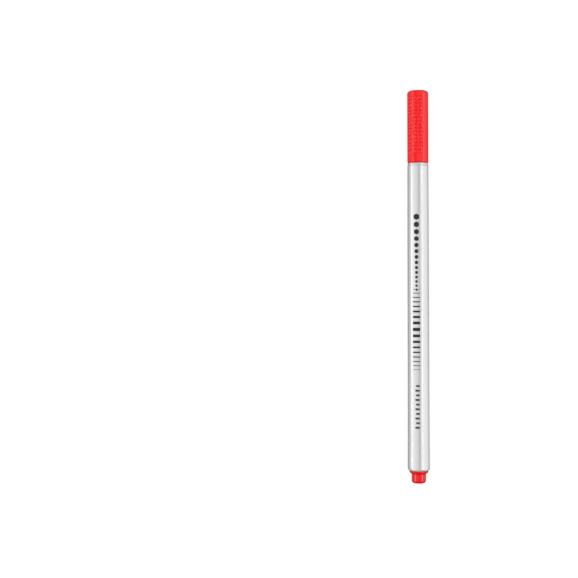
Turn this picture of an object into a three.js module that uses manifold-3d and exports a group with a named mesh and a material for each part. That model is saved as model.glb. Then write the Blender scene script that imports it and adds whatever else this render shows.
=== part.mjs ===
// Capped fineliner pen with a hexagonal barrel, lying on one facet.
// Millimetres. The pen's axis runs along Y, with the cap towards +Y, and +Z is up.
// The origin is on the surface that the pen lies on, under the middle of its length.

import * as THREE from 'three';
import { mergeVertices } from 'three/addons/utils/BufferGeometryUtils.js';
import Module from 'manifold-3d';

const wasm = await Module();
wasm.setup();

// ---------- driving dimensions ----------

// places along the axis (y), from the plug's end to the cap's top
const PLUG_END_Y = -83.0;
const STUB_TOP_Y = -79.0;          // where the plug's stub meets its shoulder
const BARREL_REAR_Y = -77.55;
const PLUG_SPIGOT_Y = -64.4;       // front end of the plug's spigot, inside the barrel
const RESERVOIR_REAR_Y = -64.0;
const RESERVOIR_FRONT_Y = 41.9;
const SPIGOT_REAR_Y = 42.2;        // rear end of the nose section's spigot
const BARREL_FRONT_Y = 51.2;
const COLLAR_FRONT_Y = 52.42;
const CAP_RIM_Y = 52.5;
const CONE_END_Y = 63.0;
const SLEEVE_END_Y = 65.9;
const NIB_TIP_Y = 67.2;
const CAP_BORE_END_Y = 81.0;
const CAP_TOP_Y = 83.0;

// hexagons: distance from the axis to the rounded corner, and the corner's own radius
const BARREL_CORNER_R = 0.8566;    // at the rear end; it grows with the corner distance
const BARREL_STATIONS = [          // [y, corner distance]
  [BARREL_REAR_Y, 4.15],
  [-77.45, 4.30],
  [-77.3, 4.42],
  [-77.1, 4.54],
  [-76.8, 4.66],
  [-76.3, 4.74],
  [-75.6, 4.765],
  [-63.5, 4.665],
  [-40.0, 4.60],
  [15.0, 4.55],
  [50.95, 4.465],
  [BARREL_FRONT_Y, 4.40],
];
const COLLAR_R = 4.40;
const COLLAR_CORNER_R = 0.9;
const CAP_R = 4.445;
const CAP_CORNER_R = 0.8;
const CAP_TURN_DEG = 12.3;         // the cap sits turned this far round from the barrel's facets
const CAP_TOP_FILLET = 0.7;
const ARC_STEPS = 3;               // straight pieces in each rounded corner

// round sizes (radii)
const BORE_R = 3.25;               // barrel bore
const SPIGOT_R = 3.2;              // what is pressed into it
const STUB_R = 3.03;               // plug stub, on which the cap is posted
const SHOULDER_R = 4.04;           // plug shoulder
const SEAT_R = 3.0;                // cap's seat on the nose section
const CAP_BORE_R = 3.1;
const BEAD_R = 3.0;                // inner radius of the bead in the cap
const FILM_OUT_R = 3.08;
const FILM_IN_R = 2.94;
const FIBRE_R = 2.9;
const SLEEVE_R = 0.7;
const SLEEVE_IN_R = 0.39;
const RING_R = 1.6;                // ring of the tip sleeve at the cone's end
const NIB_R = 0.35;
const NIB_TIP_R = 0.2;             // a 0.4 mm line
const SEAL_R = 2.75;
const SEAL_FIN_R = 3.06;

// height of the axis above the surface: the cap's lowest corner touches it
const CAP_LOW = (CAP_R - CAP_CORNER_R) * Math.cos(THREE.MathUtils.degToRad(30 - CAP_TURN_DEG)) + CAP_CORNER_R;
const AXIS_HEIGHT = CAP_LOW;

const ROUND = 40;                  // sides of the larger round pieces
const SMALL = 24;                  // sides of the tip's pieces

// ---------- helpers ----------

// One closed body with its faces pointing out: vertices merged, flat triangles dropped.
function closed(geometry) {
  const bare = geometry.clone();
  bare.deleteAttribute('normal');
  bare.deleteAttribute('uv');
  const merged = mergeVertices(bare, 1e-4);
  const p = merged.attributes.position;
  const index = merged.index.array;
  const tris = [];
  for (let i = 0; i < index.length; i += 3) {
    const [a, b, c] = [index[i], index[i + 1], index[i + 2]];
    if (a !== b && b !== c && c !== a) tris.push(a, b, c);
  }
  const A = new THREE.Vector3();
  const B = new THREE.Vector3();
  const C = new THREE.Vector3();
  let volume = 0;
  for (let i = 0; i < tris.length; i += 3) {
    A.fromBufferAttribute(p, tris[i]);
    B.fromBufferAttribute(p, tris[i + 1]);
    C.fromBufferAttribute(p, tris[i + 2]);
    volume += A.dot(B.clone().cross(C)) / 6;
  }
  if (volume < 0) {
    for (let i = 0; i < tris.length; i += 3) [tris[i + 1], tris[i + 2]] = [tris[i + 2], tris[i + 1]];
  }
  merged.setIndex(tris);
  return merged;
}

function solid(geometry) {
  const g = closed(geometry);
  return new wasm.Manifold(new wasm.Mesh({
    numProp: 3,
    vertProperties: new Float32Array(g.attributes.position.array),
    triVerts: new Uint32Array(g.index.array),
  }));
}

function geometryOf(manifold) {
  const mesh = manifold.getMesh();
  const g = new THREE.BufferGeometry();
  g.setAttribute('position', new THREE.BufferAttribute(new Float32Array(mesh.vertProperties), 3));
  g.setIndex(new THREE.BufferAttribute(new Uint32Array(mesh.triVerts), 1));
  g.computeVertexNormals();
  return g;
}

// A turned piece round the Y axis, from [radius, y] pairs.
function turned(pairs, sides = ROUND) {
  return new THREE.LatheGeometry(pairs.map(([r, y]) => new THREE.Vector2(r, y)), sides);
}

// A round rod or plug cutter from y0 to y1.
function rod(r, y0, y1, sides = ROUND) {
  return turned([[0, y0], [r, y0], [r, y1], [0, y1]], sides);
}

// A rounded hexagon whose corners touch radius R, with a flat facing up and one facing down.
function hexShape(R, r) {
  const centre = R - r;
  const shape = new THREE.Shape();
  for (let k = 0; k < 6; k++) {
    const a = k * Math.PI / 3;
    shape.absarc(centre * Math.cos(a), centre * Math.sin(a), r, a - Math.PI / 6, a + Math.PI / 6, false);
  }
  shape.closePath();
  return shape;
}

// A hexagonal bar along Y through [y, corner distance] stations, rounded corners scaled with it.
function hexBar(stations, cornerR) {
  const R0 = stations[0][1];
  const n = stations.length - 1;
  const g = new THREE.ExtrudeGeometry(hexShape(R0, cornerR), {
    depth: n, steps: n, bevelEnabled: false, curveSegments: ARC_STEPS,
  });
  const p = g.attributes.position;
  for (let i = 0; i < p.count; i++) {
    const [y, R] = stations[Math.round(p.getZ(i))];
    const s = R / R0;
    p.setXYZ(i, p.getX(i) * s, p.getY(i) * s, y);
  }
  g.rotateX(-Math.PI / 2);
  return g;
}

function box(w, l, h, x, y, z) {
  const g = new THREE.BoxGeometry(w, l, h);
  g.translate(x, y, z);
  return g;
}

// A box that stands radially at a given angle round the Y axis, from r0 to r1.
function finAt(deg, r0, r1, width, y0, y1) {
  const g = box(width, y1 - y0, r1 - r0, 0, (y0 + y1) / 2, (r0 + r1) / 2);
  g.rotateY(THREE.MathUtils.degToRad(deg));
  return g;
}

function named(name, geometry, colour, roughness, metalness = 0) {
  const mesh = new THREE.Mesh(geometry, new THREE.MeshStandardMaterial({
    color: new THREE.Color(colour), roughness, metalness,
  }));
  mesh.name = name;
  return mesh;
}

// ---------- barrel ----------

const barrel = geometryOf(
  solid(hexBar(BARREL_STATIONS, BARREL_CORNER_R))
    .subtract(solid(rod(BORE_R, BARREL_REAR_Y - 1, BARREL_FRONT_Y + 1))),
);

// ---------- end plug: stub, rounded shoulder, hollow spigot with crush ribs ----------

let plug = solid(turned([
  [0, PLUG_END_Y],
  [2.15, PLUG_END_Y],
  [2.42, PLUG_END_Y + 0.08],
  [2.72, PLUG_END_Y + 0.36],
  [2.9, PLUG_END_Y + 0.7],
  [3.0, PLUG_END_Y + 1.05],
  [STUB_R, PLUG_END_Y + 1.4],
  [STUB_R, STUB_TOP_Y],
  [3.42, STUB_TOP_Y + 0.14],
  [3.8, STUB_TOP_Y + 0.46],
  [3.98, STUB_TOP_Y + 0.82],
  [SHOULDER_R, STUB_TOP_Y + 1.1],
  [SHOULDER_R, BARREL_REAR_Y - 0.02],
  [3.14, BARREL_REAR_Y - 0.02],
  [3.14, PLUG_SPIGOT_Y - 0.6],
  [2.9, PLUG_SPIGOT_Y],
  [2.2, PLUG_SPIGOT_Y],
  [2.1, BARREL_REAR_Y + 0.5],
  [0, BARREL_REAR_Y + 0.5],
]));
for (let k = 0; k < 6; k++) {
  plug = plug.add(solid(finAt(60 * k, 2.6, SPIGOT_R, 0.5, BARREL_REAR_Y - 0.4, PLUG_SPIGOT_Y - 1.2)));
}
// a small gate dimple in the stub's end
plug = plug.subtract(solid(turned([[0, PLUG_END_Y - 1], [0.8, PLUG_END_Y - 1], [0.8, PLUG_END_Y], [0.55, PLUG_END_Y + 0.2], [0, PLUG_END_Y + 0.2]], SMALL)));
const endPlug = geometryOf(plug);

// ---------- nose section: spigot, hexagonal collar, seat, snap groove, lip and cone ----------

const noseOutside = solid(turned([
  [0, SPIGOT_REAR_Y],
  [2.95, SPIGOT_REAR_Y],
  [SPIGOT_R, SPIGOT_REAR_Y + 0.5],
  [SPIGOT_R, BARREL_FRONT_Y + 0.3],
  [SEAT_R, BARREL_FRONT_Y + 0.3],
  [SEAT_R, 54.2],
  [2.85, 54.3],
  [2.85, 54.85],
  [2.95, 55.0],
  [2.95, 55.45],
  [2.72, 55.75],
  [2.6, 56.2],
  [2.05, 58.5],
  [1.9, 59.5],
  [1.79, 60.5],
  [1.70, 61.5],
  [1.63, 62.5],
  [RING_R, CONE_END_Y],
  [0, CONE_END_Y],
]));
const collar = solid(hexBar([
  [BARREL_FRONT_Y + 0.02, COLLAR_R - 0.05],
  [BARREL_FRONT_Y + 0.14, COLLAR_R],
  [COLLAR_FRONT_Y - 0.14, COLLAR_R],
  [COLLAR_FRONT_Y, COLLAR_R - 0.1],
], COLLAR_CORNER_R));
const noseInside = solid(turned([
  [0, SPIGOT_REAR_Y - 1],
  [2.45, SPIGOT_REAR_Y - 1],
  [2.45, 53.0],
  [1.3, 56.4],
  [0.75, 57.2],
  [0.75, CONE_END_Y + 1],
  [0, CONE_END_Y + 1],
]));
let nose = noseOutside.add(collar).subtract(noseInside);
// three air grooves along the spigot
for (let k = 0; k < 3; k++) {
  nose = nose.subtract(solid(finAt(120 * k + 30, SPIGOT_R - 0.22, SPIGOT_R + 0.5, 0.6, SPIGOT_REAR_Y - 1, BARREL_FRONT_Y - 0.5)));
}
const noseSection = geometryOf(nose);

// ---------- tip sleeve and nib ----------

const tipSleeve = closed(turned([
  [SLEEVE_IN_R, 57.3],
  [0.62, 57.3],
  [SLEEVE_R, 57.5],
  [SLEEVE_R, CONE_END_Y + 0.02],
  [RING_R - 0.05, CONE_END_Y + 0.02],
  [RING_R, CONE_END_Y + 0.1],
  [RING_R, CONE_END_Y + 0.3],
  [RING_R - 0.14, CONE_END_Y + 0.42],
  [0.98, CONE_END_Y + 0.46],
  [0.78, CONE_END_Y + 0.62],
  [SLEEVE_R, CONE_END_Y + 0.95],
  [SLEEVE_R, SLEEVE_END_Y - 0.35],
  [0.6, SLEEVE_END_Y - 0.08],
  [0.5, SLEEVE_END_Y],
  [SLEEVE_IN_R, SLEEVE_END_Y],
  [SLEEVE_IN_R, 57.3],
], SMALL));

const nib = closed(turned([
  [0, 35.9],
  [0.25, 35.9],
  [NIB_R, 36.1],
  [NIB_R, SLEEVE_END_Y + 0.45],
  [0.3, SLEEVE_END_Y + 0.75],
  [NIB_TIP_R + 0.02, NIB_TIP_Y - 0.15],
  [NIB_TIP_R - 0.04, NIB_TIP_Y - 0.05],
  [0.08, NIB_TIP_Y],
  [0, NIB_TIP_Y],
], SMALL));

// ---------- ink reservoir and its film ----------

const inkReservoir = geometryOf(
  solid(rod(FIBRE_R, RESERVOIR_REAR_Y, RESERVOIR_FRONT_Y))
    .subtract(solid(rod(NIB_R + 0.04, 35.7, RESERVOIR_FRONT_Y + 1, SMALL))),
);
const reservoirFilm = closed(turned([
  [FILM_IN_R, RESERVOIR_REAR_Y],
  [FILM_OUT_R, RESERVOIR_REAR_Y],
  [FILM_OUT_R, RESERVOIR_FRONT_Y],
  [FILM_IN_R, RESERVOIR_FRONT_Y],
  [FILM_IN_R, RESERVOIR_REAR_Y],
]));

// ---------- cap shell ----------

const capOutside = hexBar([
  [CAP_RIM_Y, CAP_R - 0.28],
  [CAP_RIM_Y + 0.1, CAP_R - 0.1],
  [CAP_RIM_Y + 0.4, CAP_R],
  [CAP_TOP_Y - CAP_TOP_FILLET, CAP_R],
  [CAP_TOP_Y - CAP_TOP_FILLET * 0.55, CAP_R - 0.08],
  [CAP_TOP_Y - CAP_TOP_FILLET * 0.24, CAP_R - 0.26],
  [CAP_TOP_Y - CAP_TOP_FILLET * 0.05, CAP_R - 0.5],
  [CAP_TOP_Y, CAP_R - 0.75],
], CAP_CORNER_R);
capOutside.rotateY(THREE.MathUtils.degToRad(CAP_TURN_DEG));
const capBore = turned([
  [0, CAP_RIM_Y - 1],
  [CAP_BORE_R + 0.15, CAP_RIM_Y - 1],
  [CAP_BORE_R + 0.15, CAP_RIM_Y],
  [CAP_BORE_R, CAP_RIM_Y + 0.2],
  [CAP_BORE_R, 54.35],
  [BEAD_R, 54.5],
  [BEAD_R, 54.75],
  [CAP_BORE_R, 54.9],
  [CAP_BORE_R, CAP_BORE_END_Y],
  [0, CAP_BORE_END_Y],
]);
let cap = solid(capOutside).subtract(solid(capBore));
// a shallow round dish in the top, and three curved air slots through it
cap = cap.subtract(solid(turned([[0, CAP_TOP_Y - 0.3], [3.05, CAP_TOP_Y - 0.3], [3.2, CAP_TOP_Y + 1], [0, CAP_TOP_Y + 1]])));
for (let k = 0; k < 3; k++) {
  const half = THREE.MathUtils.degToRad(36);
  const mid = k * 2 * Math.PI / 3 + Math.PI / 2;
  const slot = new THREE.Shape();
  slot.absarc(0, 0, 2.92, mid - half, mid + half, false);
  slot.absarc(0, 0, 2.25, mid + half, mid - half, true);
  slot.closePath();
  const g = new THREE.ExtrudeGeometry(slot, { depth: 4, bevelEnabled: false, curveSegments: 8 });
  g.rotateX(-Math.PI / 2);
  g.translate(0, CAP_BORE_END_Y - 1, 0);
  g.rotateY(THREE.MathUtils.degToRad(CAP_TURN_DEG));
  cap = cap.subtract(solid(g));
}
const capShell = geometryOf(cap);

// ---------- inner seal of the cap: a cup round the cone, and a finned tube up to the cap's top ----------

const sealOutside = solid(turned([
  [0, 57.4],
  [2.6, 57.4],
  [SEAL_R, 57.6],
  [SEAL_R, 80.6],
  [0, 80.6],
]));
const sealCup = solid(turned([
  [0, 56.4],
  [2.45, 56.4],
  [2.45, 57.4],
  [2.26, 58.0],
  [2.13, 58.5],
  [1.98, 59.5],
  [1.87, 60.5],
  [1.82, 61.2],
  [1.82, 68.8],
  [1.5, 69.2],
  [0, 69.2],
]));
const sealTube = solid(rod(2.1, 70.0, 81.6));
let seal = sealOutside.subtract(sealCup).subtract(sealTube);
for (let k = 0; k < 6; k++) {
  seal = seal.add(solid(finAt(60 * k + 30, 2.5, SEAL_FIN_R, 0.5, 59.0, 80.4)));
}
const capInnerSeal = geometryOf(seal);

// ---------- assembly ----------

const WHITE = 0xe4e5e6;
const SILVER = 0xc9cacc;
const RED = 0xe0212b;

const pen = new THREE.Group();
pen.add(
  named('barrel', barrel, WHITE, 0.28),
  named('end_plug', endPlug, RED, 0.25),
  named('nose_section', noseSection, SILVER, 0.3),
  named('tip_sleeve', tipSleeve, 0xb9bcc0, 0.25, 1),
  named('nib', nib, 0xc8343a, 0.6),
  named('ink_reservoir', inkReservoir, 0xb01420, 0.95),
  named('reservoir_film', reservoirFilm, 0xf0e8e8, 0.35),
);

const capGroup = new THREE.Group();
capGroup.add(
  named('cap_shell', capShell, RED, 0.25),
  named('cap_inner_seal', capInnerSeal, 0xe8e6e2, 0.4),
);

const fineliner = new THREE.Group();
fineliner.add(pen, capGroup);
fineliner.position.set(0, 0, AXIS_HEIGHT);

export default fineliner;
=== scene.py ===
"""Looks of a capped hexagonal fineliner pen that lies on one facet."""

import math

import bpy
import numpy as np
from mathutils import Matrix, Vector


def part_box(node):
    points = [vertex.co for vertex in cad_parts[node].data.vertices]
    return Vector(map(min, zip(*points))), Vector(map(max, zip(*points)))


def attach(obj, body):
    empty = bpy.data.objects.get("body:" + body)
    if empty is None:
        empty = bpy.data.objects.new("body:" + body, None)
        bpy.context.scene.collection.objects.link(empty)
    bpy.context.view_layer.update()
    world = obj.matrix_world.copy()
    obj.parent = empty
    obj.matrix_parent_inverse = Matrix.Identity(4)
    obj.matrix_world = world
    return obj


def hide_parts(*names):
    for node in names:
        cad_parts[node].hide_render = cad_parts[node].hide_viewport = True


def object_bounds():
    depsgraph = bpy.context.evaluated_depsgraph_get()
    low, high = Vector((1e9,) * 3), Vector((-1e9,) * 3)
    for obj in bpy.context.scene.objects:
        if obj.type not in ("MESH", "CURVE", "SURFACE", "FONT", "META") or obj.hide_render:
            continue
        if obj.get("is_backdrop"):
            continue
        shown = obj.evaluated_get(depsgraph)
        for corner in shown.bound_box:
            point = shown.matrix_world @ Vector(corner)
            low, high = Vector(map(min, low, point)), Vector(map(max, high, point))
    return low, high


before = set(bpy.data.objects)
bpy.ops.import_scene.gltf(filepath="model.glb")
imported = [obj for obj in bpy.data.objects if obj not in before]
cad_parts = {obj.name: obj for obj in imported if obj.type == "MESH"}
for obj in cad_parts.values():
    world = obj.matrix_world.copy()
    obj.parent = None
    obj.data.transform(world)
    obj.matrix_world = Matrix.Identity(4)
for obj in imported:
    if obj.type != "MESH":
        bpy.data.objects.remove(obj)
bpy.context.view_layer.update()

MM = 0.001

# ---------------------------------------------------------------- sizes, mm
_lo, _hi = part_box("barrel")
AX = (_lo.z + _hi.z) / 2 / MM  # height of the pen's axis

PLUG_END, BARREL_REAR, PLUG_SPIGOT = -83.0, -77.55, -64.4
RES_REAR, RES_FRONT, SPIGOT_REAR = -64.0, 41.9, 42.2
BARREL_FRONT, COLLAR_FRONT, CAP_RIM = 51.2, 52.42, 52.5
CONE_END, SLEEVE_END, NIB_TIP = 63.0, 65.9, 67.2
CAP_BORE_END, CAP_TOP = 81.0, 83.0
CAP_TURN = 12.3

BARREL_R = [(-77.55, 4.72), (-75.6, 4.72), (-63.5, 4.655), (-40.0, 4.60), (15.0, 4.55), (50.95, 4.465), (51.2, 4.463)]
BARREL_CORNER, BARREL_CROWN = 0.70, 5.0  # corner radius, and how far each flat turns from its middle to its edge, in degrees
COLLAR_R, CAP_R, CAP_CORNER, CAP_CROWN = 4.41, 4.445, 0.68, 3.5


# ---------------------------------------------------------------- mesh helpers
def hex_ring(R, r, crown, flat_steps=10, arc_steps=8, steps=None):
    """Points (x, z) round a hexagon with slightly bowed flats and round corners, from the flat that faces +Z towards +X.

    Gives for each point its flat (or -1), its place across it, and the way out of the surface."""
    s = math.radians(crown)
    end_u = (R - r) / 2 + r * math.sin(s)
    end_n = (R - r) * math.cos(math.pi / 6) + r * math.cos(s)
    bow = end_u / math.sin(s)
    pts, flat, across, out = [], [], [], []
    where = np.linspace(-1, 1, flat_steps + 1) if steps is None else steps
    for k in range(6):
        f = math.radians(60 * k)
        n = np.array([math.sin(f), math.cos(f)])
        t = np.array([math.cos(f), -math.sin(f)])
        for w in where:
            g = math.asin(w * end_u / bow)
            pts.append(n * (end_n - bow * math.cos(s) + bow * math.cos(g)) + t * (w * end_u))
            flat.append(k)
            across.append(w * end_u)
            out.append(f + g)
        c = (R - r) * np.array([math.sin(f + math.pi / 6), math.cos(f + math.pi / 6)])
        for j in range(1, arc_steps):
            g = f + s + (math.pi / 3 - 2 * s) * j / arc_steps
            pts.append(c + r * np.array([math.sin(g), math.cos(g)]))
            flat.append(-1)
            across.append(0.0)
            out.append(g)
    out = np.array(out)
    return np.array(pts), np.array(flat), np.array(across), np.column_stack((np.sin(out), np.cos(out)))


def ring3(xz, y):
    """Row-frame points in metres, from (x, z) in mm about the axis and y in mm."""
    xz = np.asarray(xz, float)
    y = np.full(len(xz), y, float) if np.isscalar(y) else np.asarray(y, float)
    return np.column_stack((xz[:, 0], y, xz[:, 1] + AX)) * MM


def circle(r, angles):
    return np.column_stack((r * np.sin(angles), r * np.cos(angles)))


def even(n):
    return np.arange(n) * 2 * math.pi / n


def rounded(points, seg=4):
    """A profile of (radius, y, fillet) with its corners rounded, as (radius, y) pairs. Ends stay as they are."""
    out = []
    n = len(points)
    for i, (r, y, f) in enumerate(points):
        p = np.array([r, y], float)
        if i in (0, n - 1) or not f:
            out.append(p)
            continue
        a, b = np.array(points[i - 1][:2], float) - p, np.array(points[i + 1][:2], float) - p
        la, lb = np.linalg.norm(a), np.linalg.norm(b)
        a, b = a / la, b / lb
        half = math.acos(max(-1.0, min(1.0, float(a @ b)))) / 2
        cut = min(f / math.tan(half), la * 0.45, lb * 0.45)
        rad = cut * math.tan(half)
        s, e = p + a * cut, p + b * cut
        c = p + (a + b) / np.linalg.norm(a + b) * (rad / math.sin(half))
        vs, ve = s - c, e - c
        total = math.acos(max(-1.0, min(1.0, float(vs @ ve) / (np.linalg.norm(vs) * np.linalg.norm(ve)))))
        for k in range(seg + 1):
            w = k / seg
            if total < 1e-6:
                v = vs * (1 - w) + ve * w
            else:
                v = (math.sin((1 - w) * total) * vs + math.sin(w * total) * ve) / math.sin(total)
            out.append(c + v)
    return out


def loft(name, rings, loop=False, sharp=35):
    """One closed mesh through rings of points. A ring of one point is a pole. With loop, the last ring joins the first."""
    verts, starts, faces = [], [], []
    for ring in rings:
        starts.append(len(verts))
        verts.extend(np.asarray(ring).reshape(-1, 3).tolist())
    pairs = list(zip(range(len(rings) - 1), range(1, len(rings))))
    if loop:
        pairs.append((len(rings) - 1, 0))
    for i, j in pairs:
        a, b = starts[i], starts[j]
        na, nb = len(np.asarray(rings[i]).reshape(-1, 3)), len(np.asarray(rings[j]).reshape(-1, 3))
        if na == 1:
            faces += [(a, b + (k + 1) % nb, b + k) for k in range(nb)]
        elif nb == 1:
            faces += [(a + k, a + (k + 1) % na, b) for k in range(na)]
        else:
            faces += [(a + k, a + (k + 1) % na, b + (k + 1) % na, b + k) for k in range(na)]
    return mesh_object(name, verts, faces, sharp)


def mesh_object(name, verts, faces, sharp=35):
    mesh = bpy.data.meshes.new(name)
    mesh.from_pydata(verts, [], faces)
    mesh.validate()
    co = np.array([v.co for v in mesh.vertices])
    volume = 0.0
    mesh.calc_loop_triangles()
    for t in mesh.loop_triangles:
        a, b, c = co[t.vertices[0]], co[t.vertices[1]], co[t.vertices[2]]
        volume += float(a @ np.cross(b, c))
    if volume < 0:
        mesh.flip_normals()
    mesh.polygons.foreach_set("use_smooth", [True] * len(mesh.polygons))
    mesh.set_sharp_from_angle(angle=math.radians(sharp))
    mesh.update()
    obj = bpy.data.objects.new(name, mesh)
    bpy.context.scene.collection.objects.link(obj)
    return obj


def lathe(name, points, sides=96, loop=False, seg=4, sharp=35):
    """A turned piece from a profile of (radius, y, fillet), in mm."""
    rings = []
    angles = even(sides)
    for r, y in rounded(points, seg):
        rings.append(ring3([[0, 0]], y) if r < 1e-6 else ring3(circle(r, angles), y))
    return loft(name, rings, loop, sharp)


# ---------------------------------------------------------------- materials
def material(name, colour, rough, metallic=0.0, specular=0.5, coat=0.0, coat_rough=0.1, colour_shift=0.03, shift_scale=220.0,
             rough_shift=0.05, grain=2600.0, grain_depth=0.000004, grain_strength=0.25, stretch=(1.0, 1.0, 1.0)):
    """Moulded plastic or metal: slow colour and gloss variation, and a fine surface grain."""
    m = bpy.data.materials.new(name)
    m.use_nodes = True
    nt = m.node_tree
    nt.nodes.clear()
    out = nt.nodes.new("ShaderNodeOutputMaterial")
    bsdf = nt.nodes.new("ShaderNodeBsdfPrincipled")
    nt.links.new(bsdf.outputs[0], out.inputs[0])
    bsdf.inputs["Metallic"].default_value = metallic
    bsdf.inputs["Specular IOR Level"].default_value = specular
    bsdf.inputs["Coat Weight"].default_value = coat
    bsdf.inputs["Coat Roughness"].default_value = coat_rough
    where = nt.nodes.new("ShaderNodeTexCoord")
    mapping = nt.nodes.new("ShaderNodeMapping")
    mapping.inputs["Scale"].default_value = stretch
    nt.links.new(where.outputs["Object"], mapping.inputs["Vector"])

    slow = nt.nodes.new("ShaderNodeTexNoise")
    slow.inputs["Scale"].default_value = shift_scale
    slow.inputs["Detail"].default_value = 3.0
    nt.links.new(mapping.outputs[0], slow.inputs["Vector"])
    ramp = nt.nodes.new("ShaderNodeValToRGB")
    lo = [c * (1 - colour_shift) for c in colour]
    hi = [min(1.0, c * (1 + colour_shift)) for c in colour]
    ramp.color_ramp.elements[0].position, ramp.color_ramp.elements[0].color = 0.3, (*lo, 1)
    ramp.color_ramp.elements[1].position, ramp.color_ramp.elements[1].color = 0.7, (*hi, 1)
    nt.links.new(slow.outputs["Fac"], ramp.inputs["Fac"])
    nt.links.new(ramp.outputs["Color"], bsdf.inputs["Base Color"])

    mid = nt.nodes.new("ShaderNodeTexNoise")
    mid.inputs["Scale"].default_value = shift_scale * 4.3
    mid.inputs["Detail"].default_value = 4.0
    nt.links.new(mapping.outputs[0], mid.inputs["Vector"])
    span = nt.nodes.new("ShaderNodeMapRange")
    span.inputs["From Min"].default_value, span.inputs["From Max"].default_value = 0.3, 0.7
    span.inputs["To Min"].default_value, span.inputs["To Max"].default_value = rough - rough_shift, rough + rough_shift
    nt.links.new(mid.outputs["Fac"], span.inputs["Value"])
    nt.links.new(span.outputs["Result"], bsdf.inputs["Roughness"])

    fine = nt.nodes.new("ShaderNodeTexNoise")
    fine.inputs["Scale"].default_value = grain
    fine.inputs["Detail"].default_value = 3.0
    nt.links.new(mapping.outputs[0], fine.inputs["Vector"])
    bump = nt.nodes.new("ShaderNodeBump")
    bump.inputs["Strength"].default_value = grain_strength
    bump.inputs["Distance"].default_value = grain_depth
    nt.links.new(fine.outputs["Fac"], bump.inputs["Height"])
    nt.links.new(bump.outputs["Normal"], bsdf.inputs["Normal"])
    return m


M_BARREL = material("pearl_white_plastic", (0.70, 0.70, 0.70), 0.11, metallic=0.6, colour_shift=0.012, rough_shift=0.02, grain_strength=0.03)
M_RED = material("red_cap_plastic", (0.80, 0.004, 0.007), 0.11, specular=0.625, colour_shift=0.02, rough_shift=0.02, grain_strength=0.04)
M_PLUG = material("red_plug_plastic", (0.67, 0.001, 0.003), 0.03, specular=0.48, coat=0.08, coat_rough=0.02, colour_shift=0.02, rough_shift=0.01, grain_strength=0.01)
M_NOSE = material("grey_nose_plastic", (0.58, 0.58, 0.59), 0.15, metallic=0.5, colour_shift=0.02, grain_strength=0.1)
M_STEEL = material("drawn_steel", (0.60, 0.60, 0.62), 0.22, metallic=1.0, grain=900.0, stretch=(1.0, 9.0, 1.0), grain_strength=0.4)
M_NIB = material("inked_nib", (0.42, 0.02, 0.03), 0.5, colour_shift=0.25, shift_scale=1500.0, rough_shift=0.12)
M_FIBRE = material("ink_fibre", (0.36, 0.01, 0.02), 0.9, colour_shift=0.35, shift_scale=700.0, stretch=(1.0, 0.05, 1.0), grain=3500.0, grain_depth=0.00004, grain_strength=0.9)
M_FILM = material("film_wrap", (0.80, 0.72, 0.72), 0.3, colour_shift=0.05)
M_SEAL = material("natural_seal_plastic", (0.76, 0.75, 0.71), 0.42, colour_shift=0.03)
M_INK = material("black_print", (0.012, 0.012, 0.013), 0.42, colour_shift=0.3, shift_scale=900.0, rough_shift=0.08)


def finish_piece(obj, mat, body, slot, *nodes):
    obj.data.materials.clear()
    obj.data.materials.append(mat)
    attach(obj, body)
    if nodes:
        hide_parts(*nodes)
    return obj


# ---------------------------------------------------------------- barrel
def barrel_r(y):
    ys, rs = zip(*BARREL_R)
    return float(np.interp(y, ys, rs))


def barrel_ring(y, inset=0.0, most=9.0, **kw):
    """The barrel's outline at y, drawn in by inset, and no further from the axis than most."""
    pts, _, _, out = hex_ring(barrel_r(y), BARREL_CORNER, BARREL_CROWN, **kw)
    pts = pts - out * inset
    far = np.linalg.norm(pts, axis=1)
    return pts * np.minimum(1.0, most / far)[:, None]


def round_off(depth, width, n):
    """(distance from the face, inset) pairs of a quarter ellipse, from the face to the side."""
    return [(depth * (1 - math.cos(math.pi / 2 * k / n)), width * (1 - math.sin(math.pi / 2 * k / n))) for k in range(n + 1)]


def build_barrel():
    rings = []
    bore = 3.25
    angles = np.arctan2(*barrel_ring(0.0).T)
    # rear bore mouth, rear face, rear edge
    rings.append(ring3(circle(bore, angles), BARREL_REAR + 0.25))
    rings.append(ring3(circle(bore + 0.12, angles), BARREL_REAR + 0.02))
    rings.append(ring3(circle(bore + 0.3, angles), BARREL_REAR))
    for k in range(12):
        d = 1.15 * (1 - math.cos(math.pi / 2 * k / 11))
        inset = 0.22 * (1 - math.sqrt(max(0.0, 1 - (1 - min(d / 0.45, 1.0)) ** 2)))
        most = 4.16 + 0.6 * math.sqrt(max(0.0, 1 - (1 - min(d / 1.15, 1.0)) ** 2))
        rings.append(ring3(barrel_ring(BARREL_REAR + d, inset, most), BARREL_REAR + d))
    ys = np.concatenate(([-76.35, -76.0], np.linspace(-75.4, -62.0, 12), np.linspace(-60.0, 49.0, 44), [50.2, 50.8, 51.1, 51.15]))
    for y in ys:
        rings.append(ring3(barrel_ring(y), y))
    for d, inset in reversed(round_off(0.03, 0.03, 1)):
        rings.append(ring3(barrel_ring(BARREL_FRONT - d, inset), BARREL_FRONT - d))
    rings.append(ring3(circle(bore + 0.25, angles), BARREL_FRONT))
    rings.append(ring3(circle(bore, angles), BARREL_FRONT - 0.2))
    for y in np.linspace(BARREL_FRONT - 1.0, BARREL_REAR + 1.0, 14):
        rings.append(ring3(circle(bore, angles), y))
    return finish_piece(loft("barrel_tube", rings, loop=True), M_BARREL, "pen", "barrel_plastic", "barrel")


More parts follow.
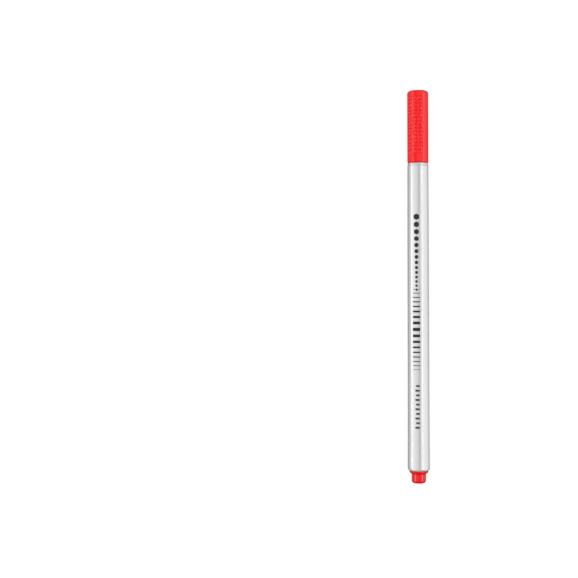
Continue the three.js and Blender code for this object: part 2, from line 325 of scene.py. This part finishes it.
# ---------------------------------------------------------------- end plug
def ribbed(r, angles, ribs, rib_r, width, first=0.0):
    """A circle of radius r with ribs that reach rib_r."""
    rr = np.full(len(angles), r)
    for k in range(ribs):
        d = np.angle(np.exp(1j * (angles - math.radians(first) - 2 * math.pi * k / ribs)))
        rr = np.where(np.abs(d) * r < width / 2, rib_r, rr)
    return np.column_stack((rr * np.sin(angles), rr * np.cos(angles)))


def build_plug():
    angles = even(120)
    rings = [ring3([[0, 0]], PLUG_END + 0.2)]
    outside = rounded([
        (0.0, PLUG_END + 0.2, 0), (0.6, PLUG_END + 0.2, 0.1), (0.82, PLUG_END, 0.06), (2.15, PLUG_END, 0.3), (2.62, PLUG_END + 0.18, 0.3),
        (2.92, PLUG_END + 0.62, 0.5), (3.02, PLUG_END + 1.1, 0.6), (3.021, -81.4, 0), (3.024, -80.6, 0), (3.027, -79.8, 0), (3.029, -79.25, 0), (3.03, -79.0, 0.1), (3.42, -78.86, 0.3), (3.84, -78.5, 0.5),
        (4.02, -78.05, 0.4), (4.03, -77.76, 0.1), (3.9, BARREL_REAR - 0.06, 0.05), (3.2, BARREL_REAR - 0.03, 0),
    ], 5)[1:]
    for r, y in outside:
        rings.append(ring3(circle(r, angles), y))
    rings.append(ring3(circle(3.12, angles), BARREL_REAR + 0.05))
    rings.append(ring3(circle(3.12, angles), BARREL_REAR + 0.3))
    for y in np.linspace(BARREL_REAR + 0.5, PLUG_SPIGOT - 1.4, 8):
        rings.append(ring3(ribbed(3.12, angles, 6, 3.2, 0.5), y))
    rings.append(ring3(circle(3.12, angles), PLUG_SPIGOT - 1.1))
    for r, y in rounded([(3.12, PLUG_SPIGOT - 0.9, 0), (3.1, PLUG_SPIGOT - 0.55, 0.2), (2.9, PLUG_SPIGOT, 0.12), (2.2, PLUG_SPIGOT, 0.12), (2.1, BARREL_REAR + 0.5, 0.4), (1.2, BARREL_REAR + 0.5, 0)], 4):
        rings.append(ring3(circle(r, angles), y))
    rings.append(ring3([[0, 0]], BARREL_REAR + 0.5))
    return finish_piece(loft("end_plug_moulding", rings), M_PLUG, "pen", "plug_plastic", "end_plug")


# ---------------------------------------------------------------- nose section
def build_nose():
    ref = hex_ring(COLLAR_R, BARREL_CORNER, BARREL_CROWN)[0]
    angles = np.arctan2(*ref.T)

    def c(r, y):
        return ring3(circle(r, angles), y)

    def h(y, inset):
        pts, _, _, out = hex_ring(COLLAR_R, BARREL_CORNER, BARREL_CROWN)
        return ring3(pts - out * inset, y)

    rings = []
    for r, y in rounded([(2.45, SPIGOT_REAR, 0), (2.95, SPIGOT_REAR, 0.1), (3.2, SPIGOT_REAR + 0.5, 0.2), (3.2, BARREL_FRONT + 0.02, 0)], 3)[1:]:
        rings.append(c(r, y))
    y0 = BARREL_FRONT + 0.03
    rings.append(c(3.5, y0))
    for d, inset in round_off(0.02, 0.02, 1):
        rings.append(h(y0 + d, inset))
    for y in (y0 + 0.04, (y0 + COLLAR_FRONT) / 2, COLLAR_FRONT - 0.14, COLLAR_FRONT - 0.1):
        rings.append(h(y, 0.0))
    for d, inset in reversed(round_off(0.08, 0.08, 4)):
        rings.append(h(COLLAR_FRONT - d, inset))
    rings.append(c(3.3, COLLAR_FRONT))
    outside = rounded([
        (3.05, COLLAR_FRONT, 0), (3.0, COLLAR_FRONT + 0.06, 0.04), (3.0, 54.2, 0.08), (2.85, 54.32, 0.06), (2.85, 54.85, 0.06), (2.95, 55.0, 0.06),
        (2.95, 55.45, 0.1), (2.72, 55.78, 0.12), (2.6, 56.2, 0.3), (2.05, 58.5, 2.0), (1.9, 59.5, 2.0), (1.79, 60.5, 3.0), (1.70, 61.5, 3.0),
        (1.63, 62.5, 2.0), (1.6, CONE_END - 0.08, 0.1), (1.5, CONE_END, 0.05), (0.78, CONE_END, 0),
    ], 4)
    for r, y in outside:
        rings.append(c(r, y))
    for r, y in rounded([(0.75, CONE_END - 0.05, 0), (0.75, 57.2, 0.3), (1.3, 56.4, 0.3), (2.45, 53.0, 0.8), (2.45, SPIGOT_REAR + 0.05, 0)], 4):
        rings.append(c(r, y))
    return finish_piece(loft("nose_moulding", rings, loop=True), M_NOSE, "pen", "nose_plastic", "nose_section")


# ---------------------------------------------------------------- tip
def build_tip():
    sleeve = lathe("tip_tube", [
        (0.39, 57.3, 0), (0.62, 57.3, 0.03), (0.7, 57.5, 0.1), (0.7, CONE_END + 0.02, 0), (1.5, CONE_END + 0.02, 0.03), (1.6, CONE_END + 0.12, 0.06),
        (1.6, CONE_END + 0.3, 0.08), (1.42, CONE_END + 0.43, 0.08), (0.95, CONE_END + 0.47, 0.15), (0.76, CONE_END + 0.7, 0.3), (0.7, CONE_END + 1.0, 0.5),
        (0.7, SLEEVE_END - 0.4, 0.3), (0.52, SLEEVE_END - 0.03, 0.12), (0.39, SLEEVE_END, 0.03),
    ], sides=64, loop=True)
    finish_piece(sleeve, M_STEEL, "pen", "tip_steel", "tip_sleeve")
    nib = lathe("nib_rod", [
        (0.0, 35.9, 0), (0.3, 35.9, 0.04), (0.35, 36.1, 0.1), (0.35, SLEEVE_END + 0.35, 0.4), (0.3, SLEEVE_END + 0.75, 0.6), (0.215, NIB_TIP - 0.12, 0.15),
        (0.13, NIB_TIP, 0.08), (0.0, NIB_TIP, 0),
    ], sides=48)
    finish_piece(nib, M_NIB, "pen", "nib_acetal", "nib")


# ---------------------------------------------------------------- reservoir and film
def build_reservoir():
    angles = even(90)
    rings = [ring3([[0, 0]], RES_REAR)]
    flute = 2.87 + 0.03 * np.cos(30 * angles)

    def fluted(scale, y):
        return ring3(np.column_stack((flute * scale * np.sin(angles), flute * scale * np.cos(angles))), y)

    rings += [fluted(0.5, RES_REAR), fluted(0.93, RES_REAR), fluted(0.985, RES_REAR + 0.06), fluted(1.0, RES_REAR + 0.25)]
    for y in np.linspace(RES_REAR + 3, RES_FRONT - 3, 24):
        rings.append(fluted(1.0, y))
    rings += [fluted(1.0, RES_FRONT - 0.25), fluted(0.985, RES_FRONT - 0.06), fluted(0.93, RES_FRONT)]
    for r, y in [(0.45, RES_FRONT), (0.39, RES_FRONT - 0.08), (0.39, 39.0), (0.39, 35.7)]:
        rings.append(ring3(circle(r, angles), y))
    rings.append(ring3([[0, 0]], 35.7))
    finish_piece(loft("ink_fibre_bundle", rings), M_FIBRE, "pen", "reservoir_fibre", "ink_reservoir")
    film = lathe("film_wrap_tube", [
        (2.94, RES_REAR, 0), (3.07, RES_REAR, 0.03), (3.07, -30.0, 0), (3.07, 5.0, 0), (3.07, RES_FRONT, 0.03), (2.94, RES_FRONT, 0), (2.94, 5.0, 0), (2.94, -30.0, 0),
    ], sides=72, loop=True)
    finish_piece(film, M_FILM, "pen", "reservoir_wrap", "reservoir_film")


# ---------------------------------------------------------------- cap
BUMP_FIRST, BUMP_PITCH, BUMP_ROWS = 79.85, 1.504, 16
BUMP_ACROSS, BUMP_HALF_W, BUMP_HALF_L, BUMP_H, BUMP_FOOT = 0.86, 0.60, 0.69, 0.150, 0.08
BUMPED = (0, 2, 3, 5)


def bump_height(u, y):
    """How far the moulded dots stand out of a flat, in mm. The surface dips a little round them."""
    u = np.asarray(u, float)
    ends = np.clip(np.minimum(BUMP_FIRST + 0.78 - y, y - (BUMP_FIRST - BUMP_PITCH * (BUMP_ROWS - 1) - 0.78)) / 0.3, 0, 1)
    dip = np.clip((1.66 - np.abs(u)) / 0.24, 0, 1) * ends
    dip = BUMP_FOOT * dip * dip * (3 - 2 * dip)
    h = -dip
    rows = BUMP_FIRST - BUMP_PITCH * np.arange(BUMP_ROWS)
    near = rows[np.abs(np.asarray(y)[..., None] - rows).argmin(-1)]
    for side in (-1, 1):
        d = np.abs((u - side * BUMP_ACROSS) / BUMP_HALF_W) ** 4 + np.abs((y - near) / BUMP_HALF_L) ** 3
        h = np.maximum(h, (BUMP_H + dip) * np.sqrt(np.clip(1 - d, 0, 1)) - dip)
    return h


def build_cap():
    steps = np.concatenate(([-1.0, -0.965], np.linspace(-0.92, 0.92, 29), [0.965, 1.0]))

    def h(inset, y, bumps=False, most=9.0):
        pts, flat, across, out = hex_ring(CAP_R, CAP_CORNER, CAP_CROWN, steps=steps, arc_steps=8)
        if bumps:
            up = np.where(np.isin(flat, BUMPED), bump_height(across, np.full(len(pts), y)), 0.0)
            pts = pts + out * up[:, None]
        pts = pts - out * inset
        far = np.linalg.norm(pts, axis=1)
        pts = pts * np.minimum(1.0, most / far)[:, None]
        q = math.radians(CAP_TURN)
        x, z = pts[:, 0], pts[:, 1]
        return ring3(np.column_stack((x * math.cos(q) + z * math.sin(q), -x * math.sin(q) + z * math.cos(q))), y)

    def most_at(d):
        """The top's edge is also turned round, which cuts the corners back."""
        return 3.46 + 1.0 * math.sqrt(max(0.0, 1 - (1 - min(d / 1.1, 1.0)) ** 2))

    ref = h(0.0, 0.0)
    angles = np.arctan2(ref[:, 0], ref[:, 2] - AX * MM)

    def c(r, y):
        return ring3(circle(r, angles), y)

    rings = [ring3([[0, 0]], CAP_TOP - 0.22)]
    # gate mark, dish, rim of the dish
    for r, y in rounded([(0.0, CAP_TOP - 0.22, 0), (0.5, CAP_TOP - 0.22, 0.1), (0.7, CAP_TOP - 0.34, 0.08), (1.0, CAP_TOP - 0.34, 0.06), (1.12, CAP_TOP - 0.3, 0.06),
                         (2.98, CAP_TOP - 0.3, 0.18), (3.14, CAP_TOP, 0.12), (3.3, CAP_TOP, 0)], 4)[1:]:
        rings.append(c(r, y))
    for d, inset in round_off(0.69, 0.66, 9):
        rings.append(h(inset, CAP_TOP - d, most=most_at(d)))
    for d in (0.75, 0.85, 0.96, 1.06):
        rings.append(h(0.0, CAP_TOP - d, most=most_at(d)))
    top_rows, low_rows = BUMP_FIRST + 0.75, BUMP_FIRST - BUMP_PITCH * (BUMP_ROWS - 1) - 0.75
    for y in np.linspace(81.8, top_rows + 0.08, 4):
        rings.append(h(0.0, y))
    for y in np.linspace(top_rows, low_rows, 12 * BUMP_ROWS + 1):
        rings.append(h(0.0, y, True))
    for y in np.linspace(low_rows - 0.1, CAP_RIM + 0.8, 5):
        rings.append(h(0.0, y))
    for d, inset in reversed(round_off(0.62, 0.5, 9)):
        rings.append(h(inset, CAP_RIM + d))
    for r, y in rounded([(3.3, CAP_RIM, 0), (3.22, CAP_RIM, 0.05), (3.1, CAP_RIM + 0.2, 0.1), (3.1, 54.32, 0.1), (3.0, 54.5, 0.06), (3.0, 54.75, 0.06), (3.1, 54.93, 0.1), (3.1, 60.0, 0),
                         (3.1, 70.0, 0), (3.1, CAP_BORE_END, 0.1), (1.5, CAP_BORE_END, 0)], 4):
        rings.append(c(r, y))
    rings.append(ring3([[0, 0]], CAP_BORE_END))
    cap = loft("cap_moulding", rings)

    # three curved air slots through the top
    cutters = []
    for k in range(3):
        mid = math.radians(120 * k + 90 + CAP_TURN)
        sweep = math.radians(33)
        outline = []
        r0, r1 = 2.28, 2.88
        for a in np.linspace(-sweep, sweep, 25):
            outline.append((r1, mid + a))
        rm, rr = (r0 + r1) / 2, (r1 - r0) / 2
        for a in np.linspace(90, -90, 9)[1:-1]:
            outline.append((rm + rr * math.sin(math.radians(a)), mid + sweep + rr / rm * math.cos(math.radians(a))))
        for a in np.linspace(sweep, -sweep, 25):
            outline.append((r0, mid + a))
        for a in np.linspace(-90, 90, 9)[1:-1]:
            outline.append((rm + rr * math.sin(math.radians(a)), mid - sweep - rr / rm * math.cos(math.radians(a))))
        pts = np.array([(r * math.sin(a), r * math.cos(a)) for r, a in outline])
        centre = pts.mean(0)
        low, high = ring3(pts, CAP_BORE_END - 0.6), ring3(pts, CAP_TOP + 0.6)
        n = len(pts)
        verts = low.tolist() + high.tolist()
        faces = [tuple(range(n)), tuple(range(2 * n - 1, n - 1, -1))]
        faces += [(i, (i + 1) % n, n + (i + 1) % n, n + i) for i in range(n)]
        cutters.append(mesh_object(f"slot_cutter_{k}", verts, faces))
    for cutter in cutters:
        mod = cap.modifiers.new("slot", "BOOLEAN")
        mod.operation, mod.solver, mod.object = "DIFFERENCE", "EXACT", cutter
    dg = bpy.context.evaluated_depsgraph_get()
    done = bpy.data.meshes.new_from_object(cap.evaluated_get(dg))
    cap.modifiers.clear()
    cap.data = done
    cap.data.name = "cap_moulding"
    for cutter in cutters:
        bpy.data.objects.remove(cutter)
    cap.data.polygons.foreach_set("use_smooth", [True] * len(cap.data.polygons))
    cap.data.set_sharp_from_angle(angle=math.radians(35))
    return finish_piece(cap, M_RED, "cap", "cap_plastic", "cap_shell")


def build_seal():
    angles = even(120)
    rings = [ring3([[0, 0]], 69.2)]

    def c(r, y):
        return ring3(circle(r, angles), y)

    for r, y in rounded([(0.0, 69.2, 0), (1.5, 69.2, 0.2), (1.82, 68.8, 0.3), (1.82, 61.2, 0.8), (1.87, 60.5, 1.0), (1.98, 59.5, 1.5), (2.13, 58.5, 1.0), (2.26, 58.0, 0.5),
                         (2.45, 57.42, 0.06), (2.6, 57.4, 0.06), (2.75, 57.58, 0.1), (2.75, 58.6, 0)], 4)[1:]:
        rings.append(c(r, y))
    for y in (58.9, 59.0):
        rings.append(c(2.75, y) if y < 59.0 else ring3(ribbed(2.75, angles, 6, 2.9, 0.5, 30), y))
    for y in np.linspace(59.3, 80.1, 10):
        rings.append(ring3(ribbed(2.75, angles, 6, 3.06, 0.5, 30), y))
    rings.append(ring3(ribbed(2.75, angles, 6, 2.9, 0.5, 30), 80.4))
    rings.append(c(2.75, 80.5))
    for r, y in rounded([(2.72, 80.58, 0), (2.66, 80.6, 0.02), (2.2, 80.6, 0.05), (2.1, 80.45, 0.08), (2.1, 70.0, 0.3), (1.0, 70.0, 0)], 4):
        rings.append(c(r, y))
    rings.append(ring3([[0, 0]], 70.0))
    return finish_piece(loft("cap_liner", rings), M_SEAL, "cap", "seal_plastic", "cap_inner_seal")


# ---------------------------------------------------------------- print on the upper facet
def facet_z(u, y):
    """Height above the axis of the barrel's upper flat, in mm."""
    R, r, s = barrel_r(y), BARREL_CORNER, math.radians(BARREL_CROWN)
    end_u = (R - r) / 2 + r * math.sin(s)
    end_n = (R - r) * math.cos(math.pi / 6) + r * math.cos(s)
    bow = end_u / math.sin(s)
    return end_n - bow * math.cos(s) + math.sqrt(bow * bow - u * u)


def ink_patch(outline_rows, verts, faces):
    """Adds one closed sliver of print. outline_rows is a list of (y, u_low, u_high) from one end to the other."""
    n_u = 8
    base = len(verts)
    for level, off in ((1, 0.014), (0, -0.012)):
        for y, a, b in outline_rows:
            for i in range(n_u + 1):
                u = a + (b - a) * i / n_u
                verts.append((u * MM, y * MM, (facet_z(u, y) + off + AX) * MM))
    rows = len(outline_rows)
    per = n_u + 1
    low = base + rows * per
    for j in range(rows - 1):
        for i in range(n_u):
            p = base + j * per + i
            faces.append((p, p + 1, p + per + 1, p + per))
            q = low + j * per + i
            faces.append((q, q + per, q + per + 1, q + 1))
        p, q = base + j * per, low + j * per
        faces.append((p, p + per, q + per, q))
        p, q = base + j * per + n_u, low + j * per + n_u
        faces.append((p, q, q + per, p + per))
    for i in range(n_u):
        p, q = base + i, low + i
        faces.append((p, q, q + 1, p + 1))
        p, q = base + (rows - 1) * per + i, low + (rows - 1) * per + i
        faces.append((p, p + 1, q + 1, q))


def bar(y, thick, u0, u1, verts, faces):
    ink_patch([(y - thick / 2, u0, u1), (y, u0, u1), (y + thick / 2, u0, u1)], verts, faces)


def hexagon_mark(y, size, verts, faces, u=0.0):
    """A small solid hexagon with two corners along the pen."""
    rows = []
    for w in (-1.0, -0.5, 0.0, 0.5, 1.0):
        k = min(1.0, (1 - abs(w)) * 2)
        hw = size * math.cos(math.pi / 6) * max(k, 0.04)
        rows.append((y + w * size, u - hw, u + hw))
    ink_patch(rows, verts, faces)


def build_print():
    verts, faces = [], []
    # a run of hexagons that shrink towards the rear
    y, size = 29.6, 1.35
    while size > 0.5:
        hexagon_mark(y, size, verts, faces)
        y -= size * 2 + 0.55
        size *= 0.93
    # a line-width scale: bars that grow and shrink again
    widths = [0.2, 0.3, 0.4, 0.5, 0.6, 0.8, 1.0, 1.2, 1.4, 1.2, 1.0, 0.8, 0.6, 0.5, 0.4, 0.3, 0.2]
    span = 34.0
    gap = (span - sum(widths)) / (len(widths) - 1)
    y = -0.8
    for w in widths:
        bar(y - w / 2, w, -1.56, 1.50, verts, faces)
        y -= w + gap
    # a row of short dashes
    for k in range(10):
        bar(-41.6 - 1.95 * k, 0.75, -0.62 if k % 2 else -0.3, 1.2, verts, faces)
    obj = mesh_object("facet_print", verts, faces)
    return finish_piece(obj, M_INK, "pen", "print_black")


build_barrel()
build_plug()
build_nose()
build_tip()
build_reservoir()
build_cap()
build_seal()
build_print()

# ---------------------------------------------------------------- camera
PX = 578.0
FOCAL_PX = 1061.04
SCALE = 0.42411  # mm per pixel at the pen's axis
DEPTH = FOCAL_PX * SCALE
PEN_PX = (418.25, 287.1)  # where the axis's middle lies in the picture
SEEN_TURN = 10.0  # the camera stands this far round from the upper facet, towards +X
ROLL = 0.177

cam_data = bpy.data.cameras.new("camera")
cam_data.sensor_width = 36.0
cam_data.lens = FOCAL_PX / PX * 36.0
cam = bpy.data.objects.new("camera", cam_data)
bpy.context.scene.collection.objects.link(cam)
bpy.context.scene.camera = cam
off_x = (PEN_PX[0] - PX / 2) * SCALE
off_y = -(PEN_PX[1] - PX / 2) * SCALE
beta = math.radians(SEEN_TURN) + math.atan2(off_x, DEPTH)
back = Vector((math.sin(beta), 0, math.cos(beta)))
right = Vector((math.cos(beta), 0, -math.sin(beta)))
up = Vector((0, 1, 0))
roll = math.radians(ROLL)
r_axis = right * math.cos(roll) - up * math.sin(roll)
u_axis = right * math.sin(roll) + up * math.cos(roll)
place = Vector((0, 0, AX)) + back * DEPTH - r_axis * off_x - u_axis * off_y
cam.matrix_world = Matrix((
    (r_axis.x, u_axis.x, back.x, place.x * MM),
    (r_axis.y, u_axis.y, back.y, place.y * MM),
    (r_axis.z, u_axis.z, back.z, place.z * MM),
    (0, 0, 0, 1),
))
cam_data.clip_start, cam_data.clip_end = 0.01, 20.0

# ---------------------------------------------------------------- floor: a white light table
bpy.ops.mesh.primitive_plane_add(size=6.0, location=(0, 0, -0.00004))
floor = bpy.context.object
floor.name = "floor"
fm = bpy.data.materials.new("floor_white")
fm.use_nodes = True
fb = fm.node_tree.nodes["Principled BSDF"]
fb.inputs["Base Color"].default_value = (0.08, 0.08, 0.08, 1)
fb.inputs["Roughness"].default_value = 0.9
fb.inputs["Specular IOR Level"].default_value = 0.0
fb.inputs["Emission Color"].default_value = (1, 1, 1, 1)
fb.inputs["Emission Strength"].default_value = 0.93
floor.data.materials.append(fm)
floor.visible_glossy = False
floor.visible_diffuse = False
floor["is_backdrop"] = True

# ---------------------------------------------------------------- light
# A studio all round the pen. Soft light falls from above, brightest overhead. Two long strip boxes
# with cards between them stand beside the pen and only show as reflections, and past their ends the
# room is dim. Angles are round the pen from straight up, towards +X.
SOFT = [(-180, 0.0), (-150, 0.06), (-130, 0.17), (-115, 0.38), (-100, 0.74), (-85, 1.20), (-70, 1.46), (-55, 1.51), (-40, 1.42), (-25, 1.26), (-10, 1.16), (5, 1.11),
        (20, 1.13), (35, 1.22), (50, 1.42), (65, 1.59), (80, 1.60), (95, 1.36), (110, 0.98), (125, 0.60), (140, 0.32), (160, 0.15), (180, 0.0)]
STRIPS_LEFT = [
    (-180, 0.0), (-140, 0.0), (-132, 0.41), (-126, 0.53), (-120, 1.04), (-114, 0.32), (-108, 0.33), (-102, 0.52), (-96, 0.77), (-90, 0.33), (-84, 0.24),
    (-78, 0.36), (-72, 0.70), (-67, 0.90), (-57.5, 0.90), (-56, 5.60), (-44, 5.60), (-42.5, 0.90), (-33, 0.90), (-28, 0.61), (-23, 1.46), (-18, 1.30), (-13, 0.88), (-8, 0.81), (-3, 0.15), (2, 1.7),
]
STRIPS_RIGHT = [
    (2, 1.7), (7, 0.07), (12, 0.42), (18, 0.62), (24, 0.8), (30, 0.45), (36, 0.35), (42, 0.74), (48, 0.95), (62, 0.95), (63.5, 5.60), (76, 5.60), (77.5, 0.90), (84, 0.90),
    (90, 0.70), (95, 0.20), (100, 1.37), (105, 1.13), (110, 1.05), (115, 0.95), (120, 0.0), (125, 0.73), (130, 0.71), (136, 0.35), (143, 0.13), (150, 0.0), (180, 0.0),
]
ROOM = [(-180, 0.03), (-130, 0.06), (-90, 0.3), (-50, 0.6), (-25, 0.2), (0, 0.04), (30, 0.04), (50, 0.5), (90, 0.3), (130, 0.1), (180, 0.03)]
ENDS = [(-180, 0.0), (-110, 0.08), (-80, 0.36), (0, 0.42), (80, 0.36), (110, 0.08), (180, 0.0)]
SOFT_LEVEL = 1.28


def ramp_node(nt, stops, scale):
    node = nt.nodes.new("ShaderNodeValToRGB")
    node.color_ramp.interpolation = "LINEAR"
    el = node.color_ramp.elements
    while len(el) > 1:
        el.remove(el[-1])
    for i, (a, v) in enumerate(stops):
        e = el[0] if i == 0 else el.new((a + 180) / 360)
        e.position = (a + 180) / 360
        e.color = (v / scale, v / scale, v / scale, 1)
    return node


def math_node(nt, operation, a, b=None, c=None):
    node = nt.nodes.new("ShaderNodeMath")
    node.operation = operation
    for i, v in enumerate((a, b, c)):
        if v is None:
            continue
        if isinstance(v, (int, float)):
            node.inputs[i].default_value = v
        else:
            nt.links.new(v, node.inputs[i])
    return node.outputs[0]


world = bpy.data.worlds.new("studio")
bpy.context.scene.world = world
world.use_nodes = True
world.cycles.sampling_method = "NONE"
wt = world.node_tree
wt.nodes.clear()
w_out = wt.nodes.new("ShaderNodeOutputWorld")
w_tc = wt.nodes.new("ShaderNodeTexCoord")
w_sep = wt.nodes.new("ShaderNodeSeparateXYZ")
wt.links.new(w_tc.outputs["Generated"], w_sep.inputs[0])
w_round = math_node(wt, "ARCTAN2", w_sep.outputs["X"], w_sep.outputs["Z"])
w_where = math_node(wt, "MULTIPLY_ADD", w_round, 1 / (2 * math.pi), 0.5)
w_along = math_node(wt, "ABSOLUTE", w_sep.outputs["Y"])


def span_node(nt, value, lo, hi, at_lo, at_hi):
    """Goes smoothly from at_lo to at_hi as the value goes from lo to hi."""
    node = nt.nodes.new("ShaderNodeMapRange")
    node.interpolation_type = "SMOOTHSTEP"
    node.inputs["From Min"].default_value, node.inputs["From Max"].default_value = lo, hi
    node.inputs["To Min"].default_value, node.inputs["To Max"].default_value = at_lo, at_hi
    nt.links.new(value, node.inputs["Value"])
    return node.outputs["Result"]


def around(nt, stops, scale, strength):
    """A background whose light depends on the angle round the pen."""
    ramp = ramp_node(nt, stops, scale)
    nt.links.new(w_where, ramp.inputs["Fac"])
    back = nt.nodes.new("ShaderNodeBackground")
    nt.links.new(ramp.outputs["Color"], back.inputs["Color"])
    nt.links.new(math_node(nt, "MULTIPLY", strength, scale), back.inputs["Strength"])
    return back.outputs[0]


def blend(nt, fac, a, b):
    mix = nt.nodes.new("ShaderNodeMixShader")
    nt.links.new(fac, mix.inputs[0])
    nt.links.new(a, mix.inputs[1])
    nt.links.new(b, mix.inputs[2])
    return mix.outputs[0]


w_soft = around(wt, SOFT, 2.0, math_node(wt, "MULTIPLY", span_node(wt, w_along, 0.3, 0.95, 1.0, 0.03), SOFT_LEVEL))
w_full = span_node(wt, w_along, 0.9, 1.0, 1.0, 0.5)
w_side = math_node(wt, "GREATER_THAN", w_where, (STRIPS_RIGHT[0][0] + 180) / 360)
w_strips = blend(wt, w_side, around(wt, STRIPS_LEFT, 8.0, w_full), around(wt, STRIPS_RIGHT, 8.0, w_full))
w_far = blend(wt, span_node(wt, w_along, 0.74, 0.94, 0.0, 1.0), around(wt, ROOM, 1.0, w_full), around(wt, ENDS, 1.0, w_full))
w_gloss = blend(wt, span_node(wt, w_along, 0.195, 0.31, 0.0, 1.0), w_strips, w_far)
w_white = wt.nodes.new("ShaderNodeBackground")
w_white.inputs["Color"].default_value = (1, 1, 1, 1)
w_path = wt.nodes.new("ShaderNodeLightPath")
w_seen = blend(wt, w_path.outputs["Is Glossy Ray"], w_soft, w_gloss)
w_seen = blend(wt, w_path.outputs["Is Camera Ray"], w_seen, w_white.outputs[0])
wt.links.new(w_seen, w_out.inputs[0])

bpy.context.scene.view_settings.view_transform = "Standard"
bpy.context.scene.view_settings.look = "None"
bpy.context.scene.view_settings.exposure = 0.0
bpy.context.scene.view_settings.gamma = 1.0

_lo, _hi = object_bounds()
